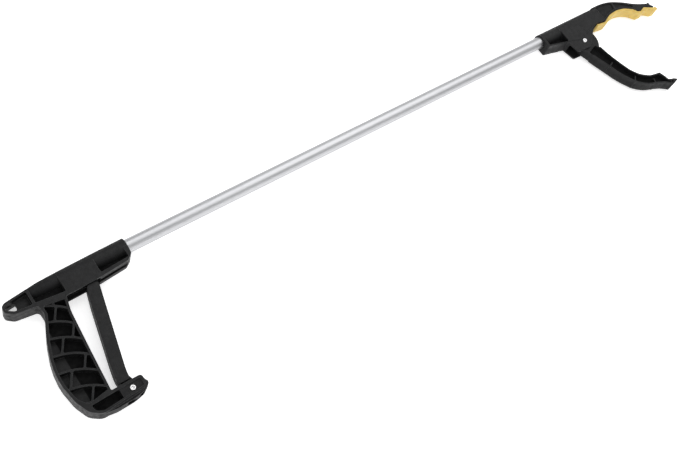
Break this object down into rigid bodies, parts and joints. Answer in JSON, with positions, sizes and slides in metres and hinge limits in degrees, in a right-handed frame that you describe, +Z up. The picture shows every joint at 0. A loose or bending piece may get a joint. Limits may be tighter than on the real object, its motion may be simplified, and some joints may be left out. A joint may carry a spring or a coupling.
{
  "type": "reacher grabber",
  "caption": "Hand-held reaching and pick-up tool with a pistol grip, an outside trigger, a long tubular shaft, a rod inside it and one jaw that closes on a fixed lined jaw.",
  "frame": {"origin": "middle of the outline at the lowest side face, the tool lying on its side", "axes": "+X along the shaft towards the jaws, +Y away from the grip, +Z up out of the upper side face"},
  "size_m": [0.7914, 0.1296, 0.0166],
  "materials": {
    "handle_plastic": "black moulded plastic, fine satin texture",
    "trigger_plastic": "black moulded plastic, fine satin texture",
    "trigger_rivet_steel": "bright plated steel",
    "satin_aluminium": "satin anodised with a fine lengthwise grain",
    "head_plastic": "black moulded plastic, fine satin texture",
    "jaw_plastic": "black moulded plastic, fine satin texture",
    "jaw_rivet_steel": "bright plated steel",
    "yellow_rubber": "soft pale yellow rubber, satin",
    "rod_steel": "plain drawn wire",
    "rear_end_acetal": "natural white acetal",
    "front_end_acetal": "natural white acetal",
    "trigger_link_pin_steel": "bright steel",
    "jaw_link_pin_steel": "bright steel",
    "rear_guide_acetal": "natural white acetal",
    "front_guide_acetal": "natural white acetal",
    "spring_steel": "spring wire",
    "washer_steel": "bright steel",
    "handle_tube_pin_steel": "bright steel",
    "head_tube_pin_steel": "bright steel"
  },
  "bodies": {
    "frame": {"handle_body": "handle_plastic", "shaft_tube": "satin_aluminium", "head_body": "head_plastic", "jaw_liner": "yellow_rubber", "trigger_rivet": "trigger_rivet_steel", "jaw_rivet": "jaw_rivet_steel", "rod_guide_rear": "rear_guide_acetal", "rod_guide_front": "front_guide_acetal", "handle_tube_pin": "handle_tube_pin_steel", "head_tube_pin": "head_tube_pin_steel", "return_spring": "spring_steel"},
    "trigger": {"trigger": "trigger_plastic"},
    "rod": {"pull_rod": "rod_steel", "rod_end_rear": "rear_end_acetal", "rod_end_front": "front_end_acetal", "trigger_link_pin": "trigger_link_pin_steel", "jaw_link_pin": "jaw_link_pin_steel", "spring_washer": "washer_steel"},
    "jaw": {"moving_jaw": "jaw_plastic"}
  },
  "joints": [
    {"name": "trigger_pivot", "type": "hinge", "parent": "frame", "child": "trigger", "pos_m": [-0.34037, -0.05643, 0.0083], "axis": [0, 0, 1], "range_deg": [0, 9.6], "stiffness_Nm_per_rad": 1.5, "springref_deg": -8.59},
    {"name": "rod_slide", "type": "slide", "parent": "frame", "child": "rod", "axis": [-1, 0, 0], "range_m": [0, 0.01925], "deforming": ["return_spring"]},
    {"name": "jaw_pivot", "type": "hinge", "parent": "frame", "child": "jaw", "pos_m": [0.27563, 0.03256, 0.0083], "axis": [0, 0, 1], "range_deg": [0, 49.2]}
  ],
  "couplings": [
    {"joint": "rod_slide", "follows": "trigger_pivot", "m_per_rad": 0.11462},
    {"joint": "jaw_pivot", "follows": "trigger_pivot", "ratio": 5.1192}
  ]
}
